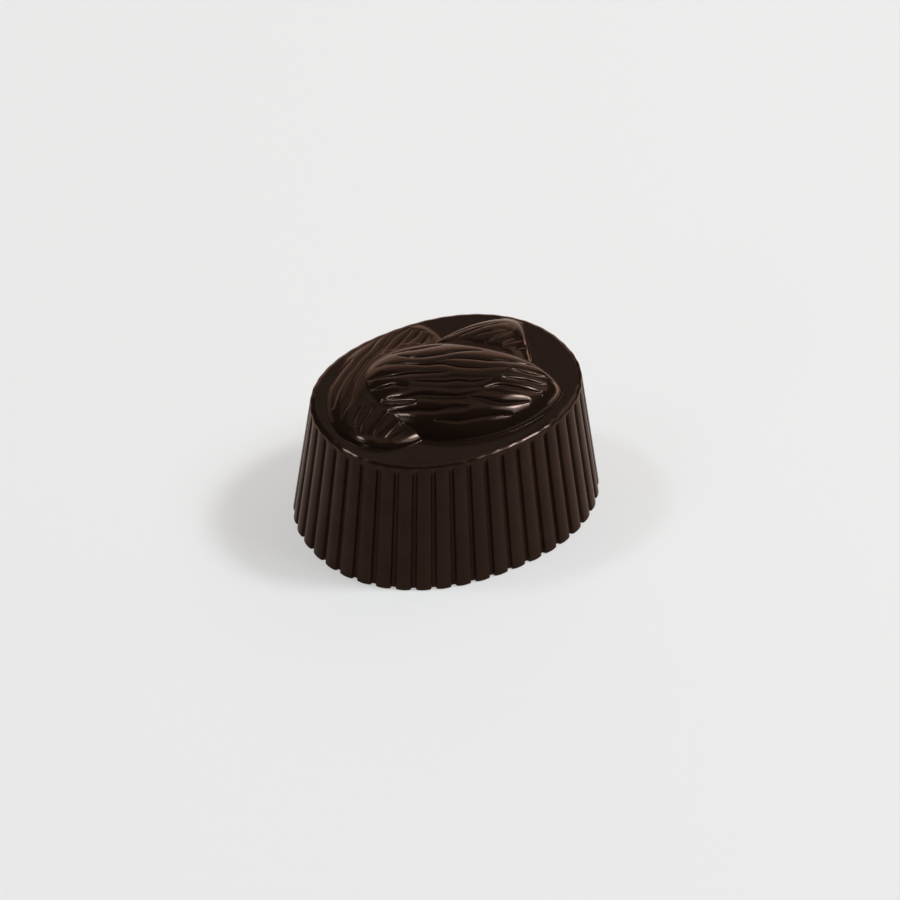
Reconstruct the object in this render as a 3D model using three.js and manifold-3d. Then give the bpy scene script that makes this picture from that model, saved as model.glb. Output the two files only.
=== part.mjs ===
// A dark chocolate praline, in millimetres: an oval moulded body with a ribbed side that narrows upwards,
// and three almonds in relief on its flat top. It stands on its wide base at z = 0, centred on the origin,
// with its length along X, its front towards -Y and +Z up.
import * as THREE from "three";
import { mergeVertices } from "three/addons/utils/BufferGeometryUtils.js";
import Module from "manifold-3d";

// Driving dimensions
const BASE_HALF = [17.0, 13.9]; // half length and half width of the oval at the base
const TOP_HALF = [14.86, 11.66]; // the same at the top
const OVAL_POWER = 2.2; // 2 would be an ellipse, and a higher power is fuller towards its corners
const SIDE_HEIGHT = 15.2;
const RIBS = 45; // the middle of the first one is at +X
const CHANNEL_DEPTH = 0.42;
const GROOVE_DEPTH = 0.3; // of the lines on the almonds
const GROOVE_HALF_ANGLE = 3.0; // degrees round the almond
const UNDERSIDE_DEPTH = 1.0; // how far an almond's hidden half goes down into the body

// One rib and its V-shaped channel: share of the pitch from the channel's middle, and share of its depth
const RIB_PROFILE = [
  [0, 1],
  [0.2, 0.18],
  [0.34, 0.06],
  [0.5, 0],
  [0.66, 0.06],
  [0.8, 0.18],
];

// Levels of the side: height, how far its rounded edges draw the outline in, and the share of the channels'
// depth there, which runs out towards the rim
const LEVELS = [
  [0, 0.1, 1],
  [0.15, 0, 1],
  [SIDE_HEIGHT - 1.2, 0, 1],
  [SIDE_HEIGHT - 0.35, 0, 0.3],
  [SIDE_HEIGHT - 0.12, 0.12, 0.12],
  [SIDE_HEIGHT, 0.42, 0.12],
];

// Each almond: the middle of its axis, the axis's heading in degrees from +X, its size, how deep its widest
// outline is sunk below the top, the powers that shape the outline at the axis's start and end, the power
// with which its height rises from the start, and how far its axis bows sideways.
// A groove runs from one share of the length to another, through angles (degrees) over the almond's back,
// where 0 is the side to the left of the heading, 90 the crest and 180 the other side.
const ALMONDS = [
  {
    middle: [0.87, -1.21],
    heading: -33.4,
    length: 21.9,
    halfWidth: 7.9,
    height: 4.08,
    sunk: 0.5,
    startPower: 0.51,
    endPower: 0.66,
    startRise: 0.5,
    bow: -0.67,
    segments: [60, 38],
    grooves: [
      [0.16, 0.41, 44, 48, 50, 49, 47],
      [0.19, 0.61, 58, 67, 71, 68, 63, 59, 57],
      [0.38, 0.86, 78, 75, 74, 72, 67, 57],
      [0.09, 0.73, 68, 76, 81, 83, 86, 86, 82],
      [0.055, 0.46, 91, 93, 92, 93, 94, 92],
      [0.27, 0.66, 103, 103, 103, 103, 99],
      [0.16, 0.62, 124, 119, 117, 117, 117, 115],
      [0.62, 0.9, 110, 107, 108, 112, 118],
      [0.54, 0.84, 120, 122, 125, 129, 132],
      [0.17, 0.56, 142, 135, 132, 130, 130],
      [0.39, 0.76, 145, 143, 141, 141, 145],
      [0.7, 0.92, 96, 97, 98, 100],
    ],
  },
  {
    middle: [-4.34, 3.13],
    heading: 45.5,
    length: 21.9,
    halfWidth: 6.9,
    height: 1.85,
    sunk: 0.4,
    startPower: 0.5,
    endPower: 0.65,
    startRise: 0.26,
    bow: 0,
    segments: [44, 30],
    grooves: [
      [0.23, 0.84, 29, 35, 39, 43, 46, 38],
      [0.15, 0.88, 41, 55, 53, 57, 60, 52],
      [0.05, 0.27, 66, 76, 81],
      [0.05, 0.23, 89, 92, 97],
      [0.05, 0.21, 110, 113, 117],
      [0.76, 0.93, 74, 78, 80],
      [0.79, 0.93, 90, 93, 96],
      [0.79, 0.91, 104, 111, 118],
    ],
  },
  {
    middle: [6.35, 3.85],
    heading: -25,
    length: 11,
    halfWidth: 4.55,
    height: 2.4,
    sunk: 0.3,
    startPower: 0.88,
    endPower: 0.2,
    startRise: 0.5,
    bow: 0,
    segments: [34, 22],
    grooves: [
      [0.2, 0.7, 74, 66, 61, 58, 56],
      [0.25, 0.84, 98, 84, 74, 66, 59, 55],
      [0.42, 0.8, 100, 90, 84, 80, 76],
      [0.55, 0.85, 111, 103, 95, 86, 77],
      [0.72, 0.94, 113, 106, 99, 92],
    ],
  },
];

const { degToRad, lerp } = THREE.MathUtils;
const wasm = await Module();
wasm.setup();

// A closed geometry as a solid that can be joined to others.
function solidOf(geometry) {
  geometry.deleteAttribute("normal");
  geometry.deleteAttribute("uv");
  const merged = mergeVertices(geometry, 1e-4);
  return new wasm.Manifold(
    new wasm.Mesh({
      numProp: 3,
      vertProperties: merged.attributes.position.array,
      triVerts: new Uint32Array(merged.index.array),
    }),
  );
}

function geometryOf(solid) {
  const { vertProperties, triVerts } = solid.getMesh();
  const geometry = new THREE.BufferGeometry();
  geometry.setAttribute("position", new THREE.BufferAttribute(vertProperties, 3));
  geometry.setIndex(new THREE.BufferAttribute(triVerts, 1));
  return geometry;
}

function powered(value, power) {
  return Math.sign(value) * Math.abs(value) ** power;
}

// An oval with the corners of an ellipse drawn out by a power above 2.
class Oval extends THREE.Curve {
  constructor(halfX, halfY) {
    super();
    this.half = [halfX, halfY];
  }

  getPoint(t, target = new THREE.Vector3()) {
    const x = this.half[0] * powered(Math.cos(2 * Math.PI * t), 2 / OVAL_POWER);
    const y = this.half[1] * powered(Math.sin(2 * Math.PI * t), 2 / OVAL_POWER);
    return target.set(x, y, 0);
  }
}

// The ribbed oval: channels evenly spaced along the oval halfway up, cut in across the edge by a share of
// their full depth, on the oval of the given half sizes.
function ribbedOval(half, depthShare) {
  const middleHalf = BASE_HALF.map((value, i) => (value + TOP_HALF[i]) / 2);
  const oval = new Oval(...middleHalf);
  oval.arcLengthDivisions = 4000;
  const points = [];
  for (let rib = 0; rib < RIBS; rib++) {
    for (const [place, share] of RIB_PROFILE) {
      const onOval = oval.getPointAt(((rib + 0.5 + place) / RIBS) % 1);
      const [x, y] = [onOval.x / middleHalf[0], onOval.y / middleHalf[1]];
      const outward = new THREE.Vector2(
        powered(x, OVAL_POWER - 1) / half[0],
        powered(y, OVAL_POWER - 1) / half[1],
      ).normalize();
      const edge = new THREE.Vector2(half[0] * x, half[1] * y);
      points.push(edge.addScaledVector(outward, -share * depthShare * CHANNEL_DEPTH));
    }
  }
  return points;
}

// The body: one ribbed oval at each level, joined up the side, narrowing from the base to the top.
function body() {
  const rings = LEVELS.map(([height, inset, depthShare]) => {
    const half = BASE_HALF.map((value, i) => lerp(value, TOP_HALF[i], height / SIDE_HEIGHT) - inset);
    return ribbedOval(half, depthShare);
  });
  const geometry = new THREE.ExtrudeGeometry(new THREE.Shape(rings[0]), {
    depth: LEVELS.length - 1,
    steps: LEVELS.length - 1,
    bevelEnabled: false,
  });
  const position = geometry.attributes.position;
  for (let i = 0; i < position.count; i++) {
    const level = Math.round(position.getZ(i));
    const at = new THREE.Vector2(position.getX(i), position.getY(i));
    const place = rings[0].findIndex((point) => point.distanceTo(at) < 1e-3);
    const { x, y } = rings[level][place];
    position.setXYZ(i, x, y, LEVELS[level][0]);
  }
  return solidOf(geometry);
}

// A bump over 0 to 1 that is 1 at its highest, with one power for how it starts and one for how it ends.
function endsProfile(t, start, end) {
  const peak = start / (start + end);
  return (t ** start * (1 - t) ** end) / (peak ** start * (1 - peak) ** end);
}

function angleAlong(angles, share) {
  const place = share * (angles.length - 1);
  const before = Math.min(Math.floor(place), angles.length - 2);
  return lerp(angles[before], angles[before + 1], place - before);
}

// How deep the almond's grooves are at a share t of its length and an angle over its back.
function grooveDepth(grooves, t, angle) {
  let depth = 0;
  for (const [from, to, ...angles] of grooves) {
    const share = (t - from) / (to - from);
    if (share <= 0 || share >= 1) continue;
    const across = (angle - angleAlong(angles, share)) / GROOVE_HALF_ANGLE;
    const fade = Math.sqrt(Math.sin(Math.PI * share));
    depth = Math.max(depth, GROOVE_DEPTH * fade * Math.exp(-across * across));
  }
  return depth;
}

// An almond on its side: a sphere whose poles become its ends. Most of its columns go over the back, which
// shows, and the rest close it below the top.
function almond(shape) {
  const [around, along] = shape.segments;
  const geometry = new THREE.SphereGeometry(1, around, along);
  const { position, uv } = geometry.attributes;
  const columnsOver = Math.round(around * 0.84) / around;
  for (let i = 0; i < position.count; i++) {
    const t = (1 - Math.cos(Math.PI * uv.getY(i))) / 2;
    const column = THREE.MathUtils.clamp(uv.getX(i), 0, 1);
    const over = column <= columnsOver;
    const angle = over
      ? (180 * column) / columnsOver
      : 180 + (180 * (column - columnsOver)) / (1 - columnsOver);
    const turn = degToRad(angle);
    const groove = grooveDepth(shape.grooves, t, angle);
    const wide = shape.halfWidth * endsProfile(t, shape.startPower, shape.endPower);
    const high = (over ? shape.height : UNDERSIDE_DEPTH) * endsProfile(t, shape.startRise, 0.5);
    const ends = Math.sin(Math.PI * uv.getY(i)) > 1e-6 ? 1 : 0;
    position.setXYZ(
      i,
      (t - 0.5) * shape.length,
      ends * (wide - groove) * Math.cos(turn) + shape.bow * (1 - (2 * t - 1) ** 2),
      ends * (high - groove) * Math.sin(turn) - shape.sunk,
    );
  }
  geometry.rotateZ(degToRad(shape.heading));
  geometry.translate(...shape.middle, SIDE_HEIGHT);
  return solidOf(geometry);
}

let whole = body();
for (const shape of ALMONDS) {
  whole = whole.add(almond(shape));
}

const chocolate = new THREE.MeshStandardMaterial({ color: 0x2c1a15, roughness: 0.3, metalness: 0 });
const praline = new THREE.Mesh(geometryOf(whole), chocolate);
praline.name = "praline";

const group = new THREE.Group();
group.add(praline);
export default group;
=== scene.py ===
"""A dark chocolate praline: one moulded piece with a ribbed side and three almonds in relief on its top.

The shape is worked out in millimetres, in the CAD model's frame: origin at the centre of the base, +X along
the oval's length, -Y to the front, +Z up. It is turned into metres where the mesh is made.
"""
import math

import bpy
import numpy as np
from mathutils import Matrix, Vector
from mathutils.geometry import delaunay_2d_cdt


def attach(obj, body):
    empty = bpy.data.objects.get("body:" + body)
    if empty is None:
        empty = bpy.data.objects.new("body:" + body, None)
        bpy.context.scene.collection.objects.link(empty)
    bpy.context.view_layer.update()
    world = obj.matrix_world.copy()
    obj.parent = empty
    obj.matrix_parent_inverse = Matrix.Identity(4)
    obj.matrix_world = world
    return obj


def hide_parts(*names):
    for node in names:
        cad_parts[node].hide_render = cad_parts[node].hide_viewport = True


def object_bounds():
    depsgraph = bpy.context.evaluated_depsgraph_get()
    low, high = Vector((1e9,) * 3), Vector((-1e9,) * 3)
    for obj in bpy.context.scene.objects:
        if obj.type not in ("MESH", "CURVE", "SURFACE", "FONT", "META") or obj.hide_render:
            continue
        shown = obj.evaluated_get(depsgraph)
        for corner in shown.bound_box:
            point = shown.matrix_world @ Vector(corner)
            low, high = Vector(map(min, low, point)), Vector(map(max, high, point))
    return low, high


MM = 0.001

# The body
TOP_SHARE = (0.8741, 0.8386)  # the top oval's length and width as shares of the base oval's
OVAL_POWER = 2.2  # 2 would be an ellipse; a higher power is fuller towards its corners
SIDE_HEIGHT = 15.2
RIBS = 45  # the first one's middle is at +X
CHANNEL_DEPTH = 0.33  # below the ribs' shoulders
CHANNEL_FLOOR = 0.08  # the half width of its flat floor, as a share of the pitch
CHANNEL_HALF_WIDTH = 0.165  # the same at the shoulders
RIB_CROWN = 0.09  # how much higher a rib's middle is than its shoulders
CHANNEL_END = 0.35  # how far below the top the channels have run out
CHANNEL_TOP = 1.0  # the length over which they do
RIM_WAVE = 0.045  # how far in the rim is drawn over each channel
RIM_DROP = 0.29  # how far below the top the rim's bevel starts
RIM_INSET = 0.50  # how far in it ends
RIM_POWER = 1.5  # 1 would be a quarter of an oval and 2 a flat chamfer
FOOT_RADIUS = 0.16
FOOT_ROWS = 7
RIM_ROWS = 9
SIDE_ROWS = 16  # between the foot and the rim
ROW_CROWDING = 1.7  # 1 would spread them evenly; a higher power brings them closer to the rim
POINTS_PER_RIB = 32
CROWDING = 0.6  # how much closer together they are in the channels than on the ribs

# The relief on the top
CREASE = 0.13  # how soft the creases are where almonds meet the top and each other
GROOVE_SHOULDERS = 4  # how many groove widths the rounded shoulders take to fade
LINE_SHARE = 0.45  # how much of a groove's depth is its sharp line; the rest is its shoulders
WOBBLES = ((0.7, 26, 2.1), (0.3, 47, 1.3))  # degrees, radians along an almond, and the next groove's shift
LEAST_RADIUS = 0.3  # for the grooves' widths near an almond's ends

# Each almond: the middle, heading (degrees from +X) and length of its axis, its largest half width and
# height, how deep its outline is sunk below the top, the powers that shape the outline ("ends") and the
# height ("rise") at the axis's start and end, how far the axis bows, and how deep and wide its grooves are.
# Each groove: the shares of the length where it starts and ends, then angles (degrees) over the almond's
# back, from 0 at the left of the heading over 90 at the crest to 180 at the right.
ALMONDS = (
    {
        "middle": (0.87, -1.21), "heading": -33.4, "length": 21.9,
        "half_width": 7.9, "height": 4.08, "sunk": 0.5,
        "ends": (0.51, 0.66), "rise": (0.5, 0.5), "bow": -0.67,
        "groove_depth": 0.36, "groove_width": 0.11,
        "grooves": (
            (0.16, 0.41, 44, 48, 50, 49, 47),
            (0.19, 0.61, 58, 67, 71, 68, 63, 59, 57),
            (0.38, 0.86, 78, 75, 74, 72, 67, 57),
            (0.09, 0.73, 68, 76, 81, 83, 86, 86, 82),
            (0.055, 0.46, 91, 93, 92, 93, 94, 92),
            (0.27, 0.66, 103, 103, 103, 103, 99),
            (0.07, 0.26, 113, 108, 106, 109),
            (0.16, 0.62, 124, 119, 117, 117, 117, 115),
            (0.62, 0.90, 110, 107, 108, 112, 118),
            (0.13, 0.30, 131, 127, 124),
            (0.54, 0.84, 120, 122, 125, 129, 132),
            (0.17, 0.56, 142, 135, 132, 130, 130),
            (0.39, 0.76, 145, 143, 141, 141, 145),
            (0.70, 0.92, 96, 97, 98, 100),
            (0.74, 0.92, 84, 83, 80, 77),
        ),
    },
    {
        "middle": (-4.34, 3.13), "heading": 45.5, "length": 21.9,
        "half_width": 6.9, "height": 1.85, "sunk": 0.4,
        "ends": (0.5, 0.65), "rise": (0.26, 0.5), "bow": 0.0,
        "groove_depth": 0.28, "groove_width": 0.14,
        "grooves": (
            (0.23, 0.84, 29, 35, 39, 43, 46, 38),
            (0.15, 0.88, 41, 55, 53, 57, 60, 52),
            (0.42, 0.64, 16, 22, 28),
            (0.10, 0.25, 59, 66, 70),
            (0.05, 0.27, 66, 76, 81),
            (0.05, 0.23, 89, 92, 97),
            (0.05, 0.21, 110, 113, 117),
            (0.66, 0.94, 66, 63, 63, 64, 70),
            (0.70, 0.93, 75, 77, 78, 80),
            (0.77, 0.94, 84, 89, 96, 103),
            (0.79, 0.91, 104, 111, 118),
        ),
    },
    {
        "middle": (6.35, 3.85), "heading": -25.0, "length": 11.0,
        "half_width": 4.55, "height": 2.4, "sunk": 0.3,
        "ends": (0.88, 0.20), "rise": (0.5, 0.5), "bow": 0.0,
        "groove_depth": 0.15, "groove_width": 0.16,
        "grooves": (
            (0.20, 0.70, 74, 66, 61, 58, 56),
            (0.25, 0.84, 98, 84, 74, 66, 59, 55),
            (0.42, 0.80, 100, 90, 84, 80, 76),
            (0.55, 0.85, 111, 103, 95, 86, 77),
            (0.72, 0.94, 113, 106, 99, 92),
            (0.84, 0.96, 115, 110, 106),
        ),
    },
)

# The finest grid of points over the relief, and where it is thinned out
FINE_STEP = 0.055
RELIEF_EVERY = 2
FLAT_EVERY = 8
STEEP = 1.2  # the slope from which on the fine grid is kept
BENT = 3.0  # the same for how fast the slope changes, per millimetre
GRID_MARGIN = 0.35  # between the grid and the rim

# The camera: its azimuth round the praline (0 at the front, 90 to the right) and its elevation
CAMERA_AZIMUTH = -31.72
CAMERA_ELEVATION = 39.95
CAMERA_DISTANCE = 0.400
CAMERA_LENS = 149.7
CAMERA_SHIFT = (0.36, -0.77)  # millimetres across and up from the middle of the side's height

WARM = (1.0, 0.78, 0.64)
WHITE = (1.0, 1.0, 1.0)
# The lights: name, azimuth from the camera's, elevation, size (metres), power (watts) and colour
LIGHTS = (
    ("softbox_right", 97, 54, (0.20, 0.18), 5.2, WHITE),
    ("softbox_right_fill", 84, 52, (0.50, 0.44), 3.9, WHITE),
    ("softbox_left", -101, 57, (0.18, 0.16), 2.5, WHITE),
    ("softbox_left_fill", -76, 46, (0.30, 0.30), 0.8, WHITE),
    ("softbox_front_left", -45, 18, (0.30, 0.25), 0.6, WHITE),
    ("softbox_back_right", 132, 40, (0.5, 0.45), 1.2, WARM),
    ("softbox_back_high", 180, 45, (1.0, 0.35), 0.38, WHITE),
    ("softbox_back", 180, 27, (1.1, 0.25), 0.55, WARM),
    ("softbox_back_low", 184, 9, (1.2, 0.38), 1.2, WARM),
    ("softbox_back_left", -135, 10, (0.6, 0.4), 0.4, WARM),
    ("softbox_above_left", -135, 64, (0.45, 0.45), 0.5, WARM),
    ("softbox_above", 120, 82, (0.7, 0.7), 1.1, WARM),
    ("strip_right", 120, 3, (1.2, 0.14), 2.9, WARM),
    ("strip_left", -105, 3, (1.0, 0.14), 0.8, WHITE),
)
LIGHT_DISTANCE = 1.2
LIGHT_AIM = 0.01  # the height that they aim at, in metres
FLOOR_HALF = 3.0  # metres


def smooth_step(value):
    value = np.clip(value, 0, 1)
    return value * value * (3 - 2 * value)


def smooth_max(a, b, softness):
    share = np.clip(0.5 + 0.5 * (a - b) / softness, 0, 1)
    return b + (a - b) * share + softness * share * (1 - share)


# ---- The body's side ----

def powered(value, power):
    return np.sign(value) * np.abs(value) ** power


def oval(turns):
    """x and y on an oval of half sizes 1, and its outward direction before division by the half sizes."""
    cos, sin = np.cos(turns), np.sin(turns)
    place = np.array([powered(cos, 2 / OVAL_POWER), powered(sin, 2 / OVAL_POWER)])
    outward = np.array([powered(cos, 2 - 2 / OVAL_POWER), powered(sin, 2 - 2 / OVAL_POWER)])
    return place, outward


def oval_turns(half_x, half_y, shares):
    """The oval's parameter at each share of the way round, evenly by length."""
    turns = np.linspace(0, 2 * np.pi, 16001)
    x, y = oval(turns)[0]
    lengths = np.concatenate([[0], np.cumsum(np.hypot(half_x * np.diff(x), half_y * np.diff(y)))])
    return np.interp(np.mod(shares, 1) * lengths[-1], lengths, turns)


def channel_cut(place):
    """How far in the side lies at a place within a rib's pitch, where 0 is the channel's middle."""
    from_middle = np.minimum(place, 1 - place)
    wall = smooth_step((CHANNEL_HALF_WIDTH - from_middle) / (CHANNEL_HALF_WIDTH - CHANNEL_FLOOR))
    from_crest = np.clip((0.5 - from_middle) / (0.5 - CHANNEL_HALF_WIDTH), 0, 1)
    return CHANNEL_DEPTH * wall + RIB_CROWN * from_crest ** 2


def side_levels():
    """(height, inset) rows from the foot's rounding up to the end of the rim's."""
    quarter = np.linspace(0, np.pi / 2, FOOT_ROWS)
    foot = [(FOOT_RADIUS * (1 - math.sin(a)), FOOT_RADIUS * (1 - math.cos(a))) for a in quarter[::-1]]
    shares = np.linspace(0, 1, SIDE_ROWS + 2)[1:-1]
    straight = FOOT_RADIUS + (SIDE_HEIGHT - RIM_DROP - FOOT_RADIUS) * (1 - (1 - shares) ** ROW_CROWDING)
    upper = np.linspace(0, np.pi / 2, RIM_ROWS)
    rim_heights = SIDE_HEIGHT - RIM_DROP * (1 - np.sin(upper) ** RIM_POWER)
    rim_insets = RIM_INSET * (1 - np.abs(np.cos(upper)) ** RIM_POWER)
    return foot + [(height, 0.0) for height in straight] + list(zip(rim_heights, rim_insets))


def side_points(half):
    """Rows of points round the body, shape (rows, points round, 3)."""
    middle = [h * (1 + share) / 2 for h, share in zip(half, TOP_SHARE)]
    count = RIBS * POINTS_PER_RIB
    even = np.arange(count) / POINTS_PER_RIB
    places = even - CROWDING * np.sin(2 * np.pi * even) / (2 * np.pi)
    turns = oval_turns(*middle, (places + 0.5) / RIBS)
    cut = channel_cut(np.mod(places, 1))
    wave = RIM_WAVE * (0.5 + 0.5 * np.cos(2 * np.pi * places))
    unit, outward = oval(turns)
    outward = outward / np.array(half)[:, None]
    outward /= np.hypot(*outward)
    rows = []
    for height, inset in side_levels():
        rise = height / SIDE_HEIGHT
        x, y = [h * (1 + (share - 1) * rise) * c for h, share, c in zip(half, TOP_SHARE, unit)]
        run_out = smooth_step((SIDE_HEIGHT - CHANNEL_END - height) / CHANNEL_TOP)
        back = cut * run_out + wave * (1 - run_out) + inset
        place = [x - outward[0] * back, y - outward[1] * back, np.full(count, height)]
        rows.append(np.stack(place, axis=-1))
    return np.array(rows)


# ---- The relief on the top ----

def ends_profile(t, start, end):
    """A bump over 0 to 1, 1 at its highest, with one power for how it starts and one for how it ends."""
    peak = start / (start + end)
    inside = np.clip(t, 1e-9, 1 - 1e-9)
    bump = inside ** start * (1 - inside) ** end / (peak ** start * (1 - peak) ** end)
    return np.where((t > 0) & (t < 1), bump, 0)


def angle_along(angles, share):
    """A smooth curve through angles that are evenly spaced along a groove."""
    angles = np.array(angles, float)
    padded = np.concatenate([[2 * angles[0] - angles[1]], angles, [2 * angles[-1] - angles[-2]]])
    place = np.clip(share, 0, 1 - 1e-9) * (len(angles) - 1)
    i = place.astype(int)
    f = place - i
    before, a, b, after = padded[i], padded[i + 1], padded[i + 2], padded[i + 3]
    cubic = 3 * (a - b) + after - before
    square = 2 * before - 5 * a + 4 * b - after
    return a + 0.5 * f * (b - before + f * (square + f * cubic))


def groove_depth(almond, t, angle, radius):
    """How deep the grooves are at a share of the almond's length and an angle and radius of its back."""
    squares = np.zeros_like(t)
    for number, (start, end, *angles) in enumerate(almond["grooves"]):
        share = (t - start) / (end - start)
        wobble = sum(size * np.sin(waves * t + shift * number) for size, waves, shift in WOBBLES)
        off = np.radians(angle - angle_along(angles, share) - wobble)
        across = off * radius / almond["groove_width"]
        fade = np.sqrt(np.sin(np.pi * np.clip(share, 0, 1)))
        line = np.exp(-across ** 2)
        shoulders = np.exp((1 - np.sqrt(1 + across ** 2)) / GROOVE_SHOULDERS)
        squares += (fade * (LINE_SHARE * line + (1 - LINE_SHARE) * shoulders)) ** 2
    return almond["groove_depth"] * np.sqrt(squares)


def almond_height(almond, x, y):
    """The height of an almond over the flat top, below it where there is no almond."""
    heading = math.radians(almond["heading"])
    from_x, from_y = x - almond["middle"][0], y - almond["middle"][1]
    along = from_x * math.cos(heading) + from_y * math.sin(heading)
    across = from_y * math.cos(heading) - from_x * math.sin(heading)
    t = along / almond["length"] + 0.5
    across = across - almond["bow"] * (1 - (2 * t - 1) ** 2)
    wide = almond["half_width"] * ends_profile(t, *almond["ends"])
    high = almond["height"] * ends_profile(t, *almond["rise"])
    ratio = np.clip(across / np.maximum(wide, 1e-6), -1, 1)
    angle = np.degrees(np.arccos(ratio))
    radius = np.hypot(wide * np.sqrt(1 - ratio ** 2), high * ratio)
    depth = groove_depth(almond, t, angle, np.maximum(radius, LEAST_RADIUS))
    ratio = np.clip(across / np.maximum(wide - depth, 1e-6), -1, 1)
    return (high - depth) * np.sqrt(1 - ratio ** 2) - almond["sunk"]


def relief(x, y):
    height = np.zeros_like(x)
    for almond in reversed(ALMONDS):
        height = smooth_max(height, almond_height(almond, x, y), CREASE)
    return np.maximum(height, 0)


def slope(x, y, step=0.012):
    across = (relief(x + step, y) - relief(x - step, y)) / (2 * step)
    along = (relief(x, y + step) - relief(x, y - step)) / (2 * step)
    return across, along


def widened(mask, steps):
    """The mask grown by a number of grid steps on all sides."""
    for _ in range(steps):
        grown = mask.copy()
        grown[1:] |= mask[:-1]
        grown[:-1] |= mask[1:]
        grown[:, 1:] |= mask[:, :-1]
        grown[:, :-1] |= mask[:, 1:]
        mask = grown
    return mask


def top_points(rim):
    """Points inside the rim: close together where the relief is steep or creased, far apart on the flat."""
    half = rim.max(axis=0)[:2]
    columns, rows = [np.arange(-h, h, FINE_STEP) for h in half]
    x, y = np.meshgrid(columns, rows)
    x = x + (np.arange(len(rows)) % 2)[:, None] * FINE_STEP / 2
    inside = (x / (half[0] - GRID_MARGIN)) ** 2 + (y / (half[1] - GRID_MARGIN)) ** 2 < 1
    height = relief(x, y)
    rise_y, rise_x = np.gradient(height, FINE_STEP)
    steepness = np.hypot(rise_x, rise_y)
    bending = np.abs(np.gradient(rise_x, FINE_STEP, axis=1))
    bending += np.abs(np.gradient(rise_y, FINE_STEP, axis=0))
    i, j = np.meshgrid(np.arange(x.shape[1]), np.arange(x.shape[0]))
    keep = (i % FLAT_EVERY == 0) & (j % FLAT_EVERY == 0)
    keep |= (height > 1e-4) & (i % RELIEF_EVERY == 0) & (j % RELIEF_EVERY == 0)
    fine_here = widened((steepness > STEEP) | (bending > BENT), 2)
    keep |= fine_here & ((i + j) % 2 == 0)
    return np.stack([x, y], axis=-1)[keep & inside]


def normal_rows(points):
    """Outward normals of the side's rows."""
    around = np.roll(points, -1, axis=1) - np.roll(points, 1, axis=1)
    up = np.gradient(points, axis=0)
    normals = np.cross(around, up)
    return normals / np.linalg.norm(normals, axis=-1, keepdims=True)


def praline_mesh(half):
    side = side_points(half)
    rows, count = side.shape[:2]
    ring = [tuple(p) for p in side[-1, :, :2]]
    inner = [tuple(p) for p in top_points(side[-1])]
    edges = [(i, (i + 1) % count) for i in range(count)]
    flat, _, faces, origins, _, _ = delaunay_2d_cdt([Vector(p) for p in ring + inner], edges, [], 1, 1e-7)
    x, y = np.array([tuple(p) for p in flat]).T
    ring_of = np.array([min(found) if found else -1 for found in origins])
    on_ring = (ring_of >= 0) & (ring_of < count)
    height = np.where(on_ring, 0, relief(x, y))
    rise_x, rise_y = slope(x, y)
    top = np.stack([x, y, SIDE_HEIGHT + height], axis=-1)
    top_normals = np.stack([-rise_x, -rise_y, np.ones_like(x)], axis=-1)
    top_normals[on_ring] = (0, 0, 1)
    top_normals /= np.linalg.norm(top_normals, axis=-1, keepdims=True)

    # The side keeps all rows but the last, which the top's own rim points replace.
    side_normals = normal_rows(side)
    kept = side[:-1].reshape(-1, 3)
    rim_index = np.zeros(count, int)
    rim_index[ring_of[on_ring]] = np.nonzero(on_ring)[0] + len(kept)
    grid = np.vstack([np.arange(len(kept)).reshape(rows - 1, count), rim_index])
    after = np.roll(grid, -1, axis=1)
    quads = np.stack([grid[:-1], after[:-1], after[1:], grid[1:]], axis=-1).reshape(-1, 4)
    tris = [tuple(int(v) + len(kept) for v in face) for face in faces]
    underside = tuple(int(v) for v in grid[0, ::-1])

    vertices = np.vstack([kept, top]) * MM
    mesh = bpy.data.meshes.new("praline_moulded")
    mesh.from_pydata(vertices.tolist(), [], quads.tolist() + tris + [underside])
    mesh.update()
    mesh.shade_smooth()
    normals = np.vstack([side_normals[:-1].reshape(-1, 3), top_normals])
    normals[: count] = side_normals[0]
    mesh.normals_split_custom_set_from_vertices(normals.tolist())
    return mesh


# ---- Material, stage, light and camera ----

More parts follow.
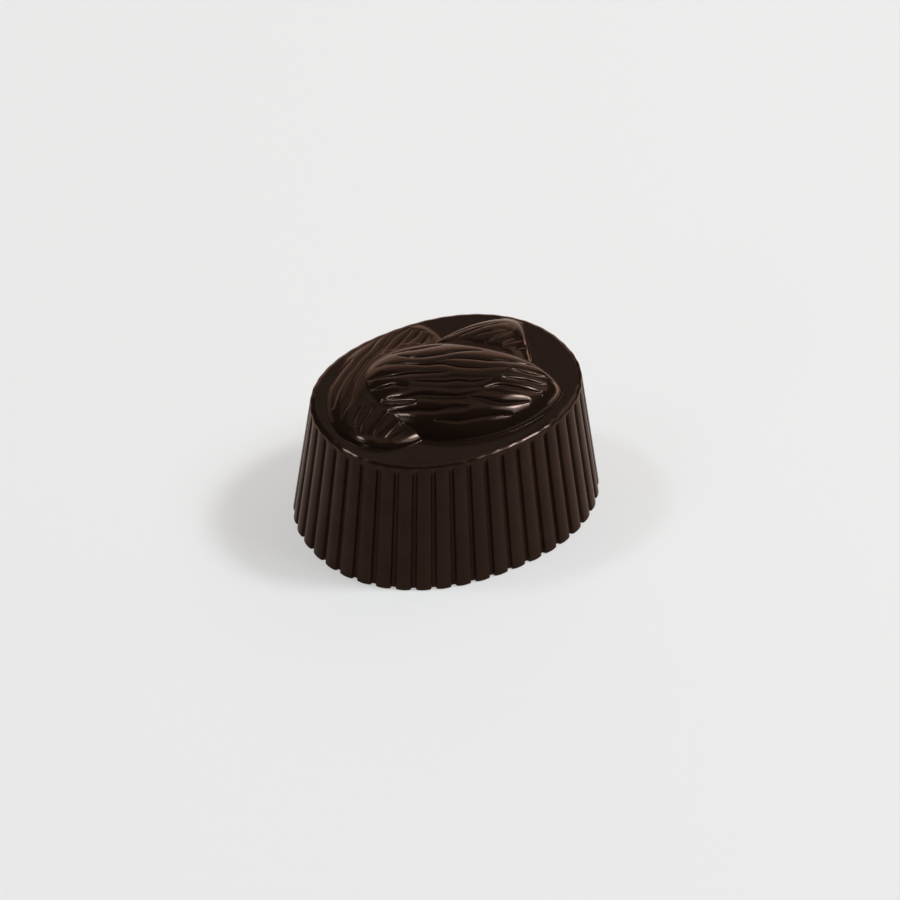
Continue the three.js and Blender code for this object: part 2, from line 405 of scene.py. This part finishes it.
def dark_chocolate():
    """Dark chocolate: glossy on the moulded top and more matt down the ribbed side, where the same brown is
    painted about half as light again, as painted light on the ribs.

    A share of metallic weight browns its reflections, which would be white at low angles otherwise.
    """
    material = bpy.data.materials.new("dark_chocolate")
    material.use_nodes = True
    nodes, links = material.node_tree.nodes, material.node_tree.links
    shader = nodes["Principled BSDF"]
    shader.inputs["IOR"].default_value = 1.47
    shader.inputs["Specular IOR Level"].default_value = 0.06
    shader.inputs["Specular Tint"].default_value = (1.0, 0.66, 0.52, 1)
    shader.inputs["Subsurface Weight"].default_value = 0.08
    shader.inputs["Subsurface Radius"].default_value = (1.0, 0.35, 0.2)
    shader.inputs["Subsurface Scale"].default_value = 0.0006
    place = nodes.new("ShaderNodeTexCoord")
    split = nodes.new("ShaderNodeSeparateXYZ")
    links.new(place.outputs["Object"], split.inputs["Vector"])

    def noise(scale, detail, roughness=0.5):
        node = nodes.new("ShaderNodeTexNoise")
        node.inputs["Scale"].default_value = scale
        node.inputs["Detail"].default_value = detail
        node.inputs["Roughness"].default_value = roughness
        links.new(place.outputs["Object"], node.inputs["Vector"])
        return node.outputs["Fac"]

    def ramp(value, *stops):
        node = nodes.new("ShaderNodeValToRGB")
        for element, (position, colour) in zip(node.color_ramp.elements, stops):
            element.position, element.color = position, (*colour, 1)
        links.new(value, node.inputs["Fac"])
        return node.outputs["Color"]

    def side_to_top(side, top):
        """A number that changes from the side to the top where the rim starts to round."""
        node = nodes.new("ShaderNodeMapRange")
        node.inputs["From Min"].default_value = (SIDE_HEIGHT - 1.3 * RIM_DROP) * MM
        node.inputs["From Max"].default_value = (SIDE_HEIGHT - 0.9 * RIM_DROP) * MM
        node.inputs["To Min"].default_value = side
        node.inputs["To Max"].default_value = top
        links.new(split.outputs["Z"], node.inputs["Value"])
        return node.outputs["Result"]

    blotches = noise(260, 5)
    # Painted light: the side's ramp is the top's brown made about half as light again, so the ribs look
    # more lit than the top.
    side = ramp(blotches, (0.35, (0.0280, 0.0155, 0.0100)), (0.70, (0.0350, 0.0198, 0.0131)))
    top = ramp(blotches, (0.35, (0.0190, 0.0106, 0.0071)), (0.70, (0.0240, 0.0135, 0.0091)))
    colour = nodes.new("ShaderNodeMix")
    colour.data_type = "RGBA"
    links.new(side_to_top(0, 1), colour.inputs[0])
    links.new(side, colour.inputs[6])
    links.new(top, colour.inputs[7])
    links.new(colour.outputs[2], shader.inputs["Base Color"])
    links.new(side_to_top(0.25, 0.44), shader.inputs["Metallic"])
    links.new(side_to_top(0, 0.15), shader.inputs["Coat Weight"])
    shader.inputs["Coat Roughness"].default_value = 0.12

    rough = nodes.new("ShaderNodeMath")
    rough.operation = "MULTIPLY"
    links.new(ramp(noise(900, 4), (0.3, (0.85, 0.85, 0.85)), (0.75, (1, 1, 1))), rough.inputs[0])
    links.new(side_to_top(0.33, 0.18), rough.inputs[1])
    links.new(rough.outputs["Value"], shader.inputs["Roughness"])

    bump = nodes.new("ShaderNodeBump")
    bump.inputs["Strength"].default_value = 0.25
    bump.inputs["Distance"].default_value = 0.00004
    links.new(noise(2400, 6, 0.6), bump.inputs["Height"])
    links.new(bump.outputs["Normal"], shader.inputs["Normal"])
    return material


def plain(name, colour, roughness):
    material = bpy.data.materials.new(name)
    material.use_nodes = True
    shader = material.node_tree.nodes["Principled BSDF"]
    shader.inputs["Base Color"].default_value = (*colour, 1)
    shader.inputs["Roughness"].default_value = roughness
    shader.inputs["Specular IOR Level"].default_value = 0.2
    return material


def floor():
    mesh = bpy.data.meshes.new("floor")
    corners = [(x * FLOOR_HALF, y * FLOOR_HALF, 0) for x, y in ((-1, -1), (1, -1), (1, 1), (-1, 1))]
    mesh.from_pydata(corners, [], [(0, 1, 2, 3)])
    ground = bpy.data.objects.new("floor", mesh)
    bpy.context.collection.objects.link(ground)
    paint = plain("floor", (0.443, 0.463, 0.480), 0.7)
    shader = paint.node_tree.nodes["Principled BSDF"]
    shader.inputs["Emission Color"].default_value = (1, 1, 0.99, 1)
    shader.inputs["Emission Strength"].default_value = 0.42
    mesh.materials.append(paint)


def towards(azimuth, elevation):
    turn, rise = math.radians(azimuth), math.radians(elevation)
    return Vector((math.sin(turn) * math.cos(rise), -math.cos(turn) * math.cos(rise), math.sin(rise)))


def aim(thing, direction):
    thing.rotation_euler = Vector(direction).to_track_quat("-Z", "Y").to_euler()


def soft_light(name, azimuth, elevation, size, power, colour):
    """A soft light round the praline. Azimuth 0 is at the front (-Y) and 90 to the right (+X)."""
    light = bpy.data.lights.new(name, "AREA")
    light.shape = "RECTANGLE"
    light.size, light.size_y = size
    light.energy = power
    light.color = colour
    lamp = bpy.data.objects.new(name, light)
    bpy.context.collection.objects.link(lamp)
    place = towards(azimuth, elevation) * LIGHT_DISTANCE
    lamp.location = place + Vector((0, 0, LIGHT_AIM))
    aim(lamp, -place)


def studio_light():
    """Softboxes round the praline, and surroundings that are brighter at the horizon.

    The brightest stand at the right and left, with dim warm ones behind and overhead, and two low strips
    light the ribs from the sides.
    """
    world = bpy.data.worlds.new("studio")
    world.use_nodes = True
    nodes, links = world.node_tree.nodes, world.node_tree.links
    place = nodes.new("ShaderNodeTexCoord")
    split = nodes.new("ShaderNodeSeparateXYZ")
    links.new(place.outputs["Generated"], split.inputs["Vector"])
    ramp = nodes.new("ShaderNodeValToRGB")
    ramp.color_ramp.elements[0].position, ramp.color_ramp.elements[0].color = 0.0, (0.7, 0.55, 0.45, 1)
    ramp.color_ramp.elements[1].position, ramp.color_ramp.elements[1].color = 0.25, (0.3, 0.3, 0.3, 1)
    links.new(split.outputs["Z"], ramp.inputs["Fac"])
    links.new(ramp.outputs["Color"], nodes["Background"].inputs["Color"])
    nodes["Background"].inputs["Strength"].default_value = 0.05
    bpy.context.scene.world = world
    for name, azimuth, elevation, size, power, colour in LIGHTS:
        soft_light(name, CAMERA_AZIMUTH + azimuth, elevation, size, power, colour)
    bpy.context.scene.view_settings.view_transform = "Standard"


def camera():
    """The photograph's view, with the camera level."""
    back = towards(CAMERA_AZIMUTH, CAMERA_ELEVATION)
    turn = math.radians(CAMERA_AZIMUTH)
    right = Vector((math.cos(turn), math.sin(turn), 0))
    above = back.cross(right)
    lens = bpy.data.cameras.new("camera")
    lens.lens = CAMERA_LENS
    lens.sensor_width = 36.0
    lens.clip_start = 0.01
    eye = bpy.data.objects.new("camera", lens)
    bpy.context.collection.objects.link(eye)
    middle = Vector((0, 0, SIDE_HEIGHT / 2)) + right * CAMERA_SHIFT[0] + above * CAMERA_SHIFT[1]
    place = middle * MM + back * CAMERA_DISTANCE
    rows = [[right[i], above[i], back[i], place[i]] for i in range(3)]
    eye.matrix_world = Matrix(rows + [[0, 0, 0, 1]])
    bpy.context.scene.camera = eye


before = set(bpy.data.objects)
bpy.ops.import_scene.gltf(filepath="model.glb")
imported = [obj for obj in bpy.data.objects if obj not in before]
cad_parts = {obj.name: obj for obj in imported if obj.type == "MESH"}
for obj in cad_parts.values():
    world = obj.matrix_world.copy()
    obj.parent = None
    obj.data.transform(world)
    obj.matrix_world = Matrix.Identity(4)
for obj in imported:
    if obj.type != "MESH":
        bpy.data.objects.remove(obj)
cad_box = [list(corner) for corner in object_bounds()]
camera()
studio_light()
floor()

half_sizes = [(high - low) / 2 / MM for low, high in zip(cad_box[0][:2], cad_box[1][:2])]
praline = bpy.data.objects.new("praline_moulded", praline_mesh(half_sizes))
bpy.context.collection.objects.link(praline)
praline.data.materials.append(dark_chocolate())
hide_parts("praline")
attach(praline, "root")
